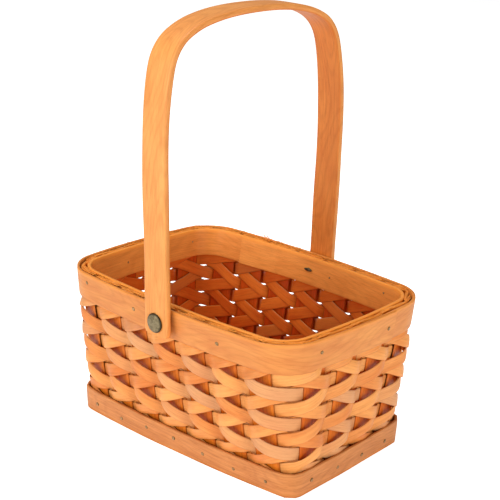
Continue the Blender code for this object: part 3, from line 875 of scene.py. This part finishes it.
def band_path(bottom, top, side, thickness, lap_column, tone):
    """A band from one thin end, once round the basket and on over its own start."""
    column = np.arange(lap_column, lap_column + column_count + lap_span + 0.001, band_step)
    begun = np.clip((column - lap_column) / lap_span, 0, 1)
    ended = np.clip((column - lap_column - column_count) / lap_span, 0, 1)
    second = column > lap_column + column_count
    near = band_offset + second * (lap_tip + (thickness - lap_tip) * ended + gap)
    far = band_offset + np.where(begun < 1, lap_tip + (thickness - lap_tip) * begun, thickness)
    far = far + (gap + lap_end) * ended
    wave = np.sin(column * 1.9 + side) + np.sin(column * 3.1 + 2 * side) * 0.6
    far = far + band_wander * wave * (1 - ended) * begun
    middle, outward = wall(column, (bottom + top) / 2, side * (near + far) / 2)
    across = half_way((column, bottom), (column, top))
    # Painted light and shade at the lap: the second pass over it is paler, the thin start under it deeper
    lap_light_and_shade_tones = tone + np.where(second, -0.25, 0.2 * (1 - begun))
    return path(middle, across, outward, (far - near) / 2, (top - bottom) / 2, 0.0, lap_light_and_shade_tones)


rim_bottom = body_height - rim_band_height
rim = (rim_bottom, body_height)
outer_path = (*rim, 1, band_thickness, outer_lap_column, 0.45)
inner_path = (*rim, -1, inner_band_thickness, inner_lap_column, 0.5)
base_path = (0.0, base_band_height, 1, band_thickness, base_lap_column, 0.5)
for name, shape, finish, slot_name in (
    ("rim_band_outer", outer_path, band_wood, "band"),
    ("rim_band_inner", inner_path, inner_wood, "inner_band"),
    ("base_band", base_path, foot_wood, "band"),
):
    piece = swept(name + "_bent", [band_path(*shape)], finish, 28, 0.55, 0.16)
    settle(piece, "basket", slot_name, name)

# %% [markdown]
# Between the two rim bands the cut ends of the splints are frayed. The torn fibres lie along
# the gap and a few stand up out of it, which breaks the clean line of the rim. They are
# hair-thin strips of the same tree, with a random place and bend from a fixed seed. One
# longer tuft stands on the back wall. The fibres are drawn thicker than real ones, because
# at this size a real one is a fraction of a pixel.

# %% Frayed fibres in the rim
fibre_count = 150
fibre_half = 0.0002
fibre_steps = 6
# What a fibre's draws lie between: its length in columns, its rise, turn, place and drift
fibre_length = (0.10, 0.34)
fibre_rise = (0.0004, 0.0020)
fibre_turn = (1.2, 2.6)
fibre_place = (0.0002, 0.0022)
fibre_drift = (-0.0006, 0.0012)
tuft_column = 15.6
tuft_half = 0.12
tuft_count = 18
tuft_reach = 3.2


def fibre_path(column, reach):
    """One torn fibre: it leaves the gap at a low angle and curls a little."""
    length = chance.uniform(*fibre_length) * chance.choice((-1, 1))
    share = np.linspace(0, 1, fibre_steps)
    rise = chance.uniform(*fibre_rise) * reach
    height = weave_top - fibre_half + rise * np.sin(share * chance.uniform(*fibre_turn))
    drift = chance.uniform(*fibre_drift)
    offset = chance.uniform(*fibre_place) + drift * share
    spine, outward = wall(column + length * share, height, offset)
    taper = 1 - 0.75 * share
    across = np.outer(1.5 * fibre_half * taper, (0, 0, 1))
    return path(spine, across, outward, fibre_half * taper, fibre_half, 0.0, chance.uniform(0.3, 1.0))


fibre_paths = [fibre_path(chance.uniform(0, column_count), 1.0) for _ in range(fibre_count)]
for _ in range(tuft_count):
    fibre_paths.append(fibre_path(tuft_column + chance.uniform(-tuft_half, tuft_half), tuft_reach))
fibres = swept("frayed_fibres", fibre_paths, splint_wood, 6, 1.0, 1.0)
settle(fibres, "basket", "splint")

# %% [markdown]
# The handle is one long strip bent to a tall hoop. Its arms lean out a little above the
# rim and come in again to a flat crown. Each foot has eased corners and is held by one
# rivet, on which the hoop swings.

# %% Line of the hoop
handle_width = 0.0248
handle_thickness = 0.0055
handle_offset = 0.003
handle_skew = 0.004
pivot_height = 0.119
arm = 0.0985
rise = 0.2342
foot_drop = 0.010
hoop_steps = 8
hoop_step = 0.0022
# Outer curve of one half of the hoop: share of the arm's half span, share of the rise
hoop_shares = [
    (1.000, 0.000), (1.004, 0.080), (1.014, 0.250), (1.026, 0.420), (1.028, 0.560),
    (1.014, 0.690), (0.978, 0.800), (0.928, 0.872), (0.840, 0.922), (0.715, 0.955),
    (0.545, 0.979), (0.300, 0.995), (0.000, 1.000),
]


def smooth_line(points, steps):
    """A smooth line through the points."""
    ends = np.array([2 * points[0] - points[1], *points, 2 * points[-1] - points[-2]])
    share = (np.arange(steps) / steps)[:, None]
    made = []
    for before, one, two, after in zip(ends, ends[1:], ends[2:], ends[3:]):
        bend = before * 2 - one * 5 + two * 4 - after
        turn = one * 3 - before - two * 3 + after
        made.extend((one * 2 + (two - before) * share + bend * share**2 + turn * share**3) / 2)
    return np.array([*made, points[-1]])


def even_line(points, step):
    """The same line with its points in even steps, and how far along each one is."""
    run = np.concatenate([[0], np.cumsum(np.linalg.norm(np.diff(points, axis=0), axis=1))])
    wanted = np.linspace(0, run[-1], round(run[-1] / step) + 1)
    return np.column_stack([np.interp(wanted, run, values) for values in points.T]), wanted


half_hoop = [np.array([-arm * y, pivot_height + rise * z]) for y, z in hoop_shares]
other_half = [np.array([-point[0], point[1]]) for point in reversed(half_hoop[:-1])]
hoop = smooth_line(half_hoop + other_half, hoop_steps)
hoop[:, 0] -= handle_skew * ((hoop[:, 1] - pivot_height) / rise) ** 3
foot = np.array([[-arm, pivot_height - foot_drop]])
hoop, run = even_line(np.concatenate([foot, hoop, foot * (-1, 1)]), hoop_step)
print("length of the handle strip in mm:", round(1000 * run[-1]))

# %% Handle
ease = 0.0012
edge_wander = 0.0002
wander_per_metre = 70
even_foot = 0.02
along = np.gradient(hoop, axis=0)
along /= np.linalg.norm(along, axis=1)[:, None]
outward = np.column_stack([np.zeros(len(hoop)), -along[:, 1], along[:, 0]])
from_end = np.minimum(run, run[-1] - run)
cut = np.clip(ease - from_end, 0, ease)
half_width = handle_width / 2 - ease + np.sqrt(ease**2 - cut**2)
half_width = half_width + edge_wander * np.sin(run * wander_per_metre) * (from_end > even_foot)
spine = np.column_stack([np.full(len(hoop), handle_offset), hoop]) - outward * handle_thickness / 2
across = np.outer(half_width, (1, 0, 0))
one = path(spine, across, outward, handle_thickness / 2, half_width, 0.0, 0.4)
handle = swept("handle_bent", [one], handle_wood, 32, 0.5, 0.2)
settle(handle, "handle", "handle", "handle")

# %% [markdown]
# The two rivets are antique brass: a low domed head outside the handle's foot, a shank
# through the rim and two short legs that are bent flat inside. Antique brass is brass that
# was darkened in a bath and rubbed back, so it is brownish grey, brighter where it is
# rubbed. The dark ring at the edge of the head is partly the bath that stays there and
# partly painted shade of the gap under the head.

# %% Brass finish
patches_per_metre = 520.0
rubbed_patch = (0.38, 0.62)
patina_and_shade_ring = (0.80, 0.97)
dull_roughness = 0.12


def brass(name, bright, dull, rim, rough):
    """Darkened brass, rubbed bright in patches about 2 mm wide, with a dark ring at the rim."""
    made, tree, shader = new_finish(name)
    place = add(tree, "ShaderNodeTexCoord").outputs["Object"]
    inputs = {"Vector": place, "Scale": patches_per_metre, "Detail": 4.0, "Roughness": 0.6}
    patches = add(tree, "ShaderNodeTexNoise", inputs)
    edge = add(tree, "ShaderNodeAttribute", attribute_name="edge").outputs["Fac"]
    colour = coat(tree, linear(dull), bright, patches, *rubbed_patch)
    # A dark ring at the edge: partly patina, partly painted shade round the head
    colour = coat(tree, colour, rim, edge, *patina_and_shade_ring)
    low, high = rubbed_patch
    inputs = {"Value": patches, "From Min": low, "From Max": high}
    worn = add(tree, "ShaderNodeMapRange", {**inputs, "To Min": rough + dull_roughness, "To Max": rough})
    bump = add(tree, "ShaderNodeBump", {"Height": patches, "Strength": 0.35, "Distance": 0.0002})
    fill(shader, {"Base Color": colour, "Roughness": worn, "Normal": bump, "Metallic": 0.85})
    return made


rivet_brass = brass("antique_brass_rivet", "#887A5C", "#685C42", "#3A3222", 0.34)
print("brass finish:", rivet_brass.name)

# %% A shape turned from a profile
rivet_sides = 48
tail_shade = 0.9


def lathe(name, profile, turn, dark_below, finish):
    """A solid from a profile of half length, half width and height, whose ends lie on the axis."""
    shape = bmesh.new()
    rings = []
    for reach, radius, height in profile:
        count = rivet_sides if radius else 1
        angles = [2 * math.pi * step / count for step in range(count)]
        spots = [Vector((reach * math.cos(angle), radius * math.sin(angle), height)) for angle in angles]
        rings.append([shape.verts.new(turn @ spot) for spot in spots])
    for one, two in zip(rings[:-1], rings[1:]):
        for step in range(rivet_sides):
            after = (step + 1) % rivet_sides
            corners = [one[step % len(one)], one[after % len(one)]]
            corners += [two[after % len(two)], two[step % len(two)]]
            shape.faces.new(dict.fromkeys(corners))
    bmesh.ops.recalc_face_normals(shape, faces=shape.faces)
    mesh = bpy.data.meshes.new(name)
    shape.to_mesh(mesh)
    shape.free()
    mesh.shade_smooth()
    mesh.set_sharp_from_angle(angle=math.radians(50))
    mesh.materials.append(finish)
    widest = max(radius for reach, radius, height in profile)
    back = turn.inverted()
    spots = [back @ vert.co for vert in mesh.vertices]
    shares = [spot.xy.length / widest if spot.z > dark_below else tail_shade for spot in spots]
    mesh.attributes.new("edge", "FLOAT", "POINT").data.foreach_set("value", shares)
    return placed(name, mesh)


print("sides of a turned shape:", rivet_sides)

# %% Rivets
head_depth = 0.001
# Profile of the bent legs: half length, half width and rise. Then that of the head: radius, rise
leg_profile = [(0.0, 0.0, 0.0), (0.0038, 0.0011, 0.0), (0.0042, 0.0014, 0.0003)]
leg_profile += [(0.0040, 0.0013, 0.0008), (0.0015, 0.0015, 0.0010)]
head_profile = [(0.0015, 0.0), (0.0076, 0.0), (0.0078, 0.0002), (0.0078, 0.0007), (0.0074, 0.0012)]
head_profile += [(0.0065, 0.00155), (0.0050, 0.0018), (0.0027, 0.00195), (0.0, 0.002)]
seat = arm + gap
pivot = Matrix.Translation((handle_offset, 0, pivot_height))
for label, facing in (("front", -1), ("back", 1)):
    low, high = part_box("rivet_" + label)
    tail = min(abs(low.y), abs(high.y))
    profile = [(reach, radius, tail + rise) for reach, radius, rise in leg_profile]
    profile += [(radius, radius, seat + rise) for radius, rise in head_profile]
    turn = pivot @ Matrix.Rotation(-facing * math.pi / 2, 4, "X")
    rivet = lathe("rivet_" + label + "_turned", profile, turn, seat - head_depth, rivet_brass)
    settle(rivet, "basket", "rivet", "rivet_" + label)

# %% [markdown]
# Brads are small nails with a low domed head. They repeat, so Geometry Nodes sets one dome
# on every point of a small mesh that holds their places and directions. The heads are
# tarnished, and the dark ring at their edge is partly tarnish and partly painted shade of
# the dent round each head. Where a band laps, its brads lie on the lap.

# %% The brad tree
# The dark rim colour of the brads is partly painted shade of the dent round each head
brad_brass = brass("tarnished_brass_brad", "#B08E62", "#8A6E48", "#2A2214", 0.42)


def brad_tree():
    """Sets a flattened ball on every point, turned by the stored direction."""
    tree, start = new_tree("brads_on_points", {"Radius": "Float", "Rise": "Float", "Seed": "Int"})
    ball = add(tree, "GeometryNodeMeshUVSphere", {"Segments": 16, "Rings": 12, "Radius": 1.0})
    place = add(tree, "GeometryNodeInputPosition")
    flat = add(tree, "ShaderNodeVectorMath", {0: place, 1: (1.0, 1.0, 0.0)}, operation="MULTIPLY")
    reach = add(tree, "ShaderNodeVectorMath", {0: flat}, operation="LENGTH").outputs["Value"]
    inputs = {"Geometry": ball, "Name": "edge", "Value": reach}
    marked = add(tree, "GeometryNodeStoreNamedAttribute", inputs, data_type="FLOAT", domain="POINT")
    scale = add(tree, "ShaderNodeCombineXYZ", {0: start["Radius"], 1: start["Radius"], 2: start["Rise"]})
    dome = add(tree, "GeometryNodeTransform", {"Geometry": marked, "Scale": scale})
    inputs = {"Name": "outward"}
    facing = add(tree, "GeometryNodeInputNamedAttribute", inputs, data_type="FLOAT_VECTOR")
    turn = add(tree, "FunctionNodeAlignRotationToVector", {"Vector": facing}, axis="Z")
    inputs = {"Min": 0.9, "Max": 1.1, "Seed": start["Seed"]}
    size = add(tree, "FunctionNodeRandomValue", inputs, data_type="FLOAT").outputs[1]
    inputs = {"Points": start["Geometry"], "Instance": dome, "Rotation": turn, "Scale": size}
    heads = add(tree, "GeometryNodeInstanceOnPoints", inputs)
    end_tree(tree, heads, start["Finish"])
    return tree


brads = brad_tree()


def placed_brads(name, spots, facing, radius, rise, seed):
    """Domes at these spots, as one plain mesh."""
    wanted = {"Radius": radius, "Rise": rise, "Seed": seed, "Finish": brad_brass}
    made = grown(name, spots, [], {"outward": facing}, brads, wanted)
    made.data.shade_smooth()
    return made


print("brad tree nodes:", len(brads.nodes))

# %% Brads
head_radius = 0.0015
head_rise = 0.0006
point_radius = 0.0008
point_rise = 0.0004
half_turn = column_count // 2
base_shares = np.tile([0.44, 0.36, 0.53, 0.60, 0.49, 0.40, 0.42, 0.51, 0.44, 0.38, 0.38], 2)
rim_columns = np.array([0.30, 2.16, 4.96, 7.00, 9.08])
rim_columns = np.concatenate([rim_columns, rim_columns + half_turn])
rim_heights = rim_bottom + rim_band_height * np.tile([0.68, 0.51, 0.46, 0.57, 0.48], 2)


def lap_rise(column, lap_column):
    """How far a lap lifts a brad's head at this column."""
    share = (column - lap_column) / lap_span
    return np.where((share > 0) & (share < 1), (gap + lap_end) * share, 0)


base_columns = np.arange(column_count)
base_reach = wall_reach + lap_rise(base_columns, base_lap_column)
rim_reach = wall_reach + lap_rise(rim_columns, outer_lap_column)
low_spots, low_facing = wall(base_columns, base_band_height * base_shares, base_reach)
high_spots, high_facing = wall(rim_columns, rim_heights, rim_reach)
inner_spots, inner_facing = wall(rim_columns, rim_heights, -inner_reach)
outer_spots = np.concatenate([low_spots, high_spots])
outer_facing = np.concatenate([low_facing, high_facing])
heads = placed_brads("brad_heads", outer_spots, outer_facing, head_radius, head_rise, 3)
settle(heads, "basket", "rivet")
points = placed_brads("brad_points", inner_spots, -inner_facing, point_radius, point_rise, 5)
settle(points, "basket", "rivet")

# %% [markdown]
# The base is a flat board inside the foot of the wall. The photograph doesn't show it, so
# its wood is a guess. The CAD node has the right shape, so it stays and only gets its
# finish. It has no grain coordinates of its own, so its wood reads Object coordinates, in
# streaks about 45 mm long and 1.4 mm wide.

# %% Base board
streaks_per_metre = (22.0, 700.0, 700.0)
board_wood, tree, shader = new_finish("stained_plywood_board")
place = add(tree, "ShaderNodeTexCoord").outputs["Object"]
inputs = {0: place, 1: streaks_per_metre}
streaks = add(tree, "ShaderNodeVectorMath", inputs, operation="MULTIPLY")
streaks = add(tree, "ShaderNodeTexNoise", {"Vector": streaks, "Scale": 1.0, "Detail": 3.0})
colour = coat(tree, linear("#E39A55"), "#A85E26", streaks)
worn = add(tree, "ShaderNodeMapRange", {"Value": streaks, "To Min": 0.42, "To Max": 0.6})
bump = add(tree, "ShaderNodeBump", {"Height": streaks, "Strength": 0.2, "Distance": 0.0002})
fill(shader, {"Base Color": colour, "Roughness": worn, "Normal": bump})
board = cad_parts["base_board"]
board.data.materials.clear()
board.data.materials.append(board_wood)
print("board finish:", board_wood.name)

# %% [markdown]
# Last, the size of the finished model is printed. The model has to stay within the CAD
# box and a small margin.

# %% Size of the finished model
low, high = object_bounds()
print("scene box in mm:", [round(1000 * side, 1) for side in high - low])
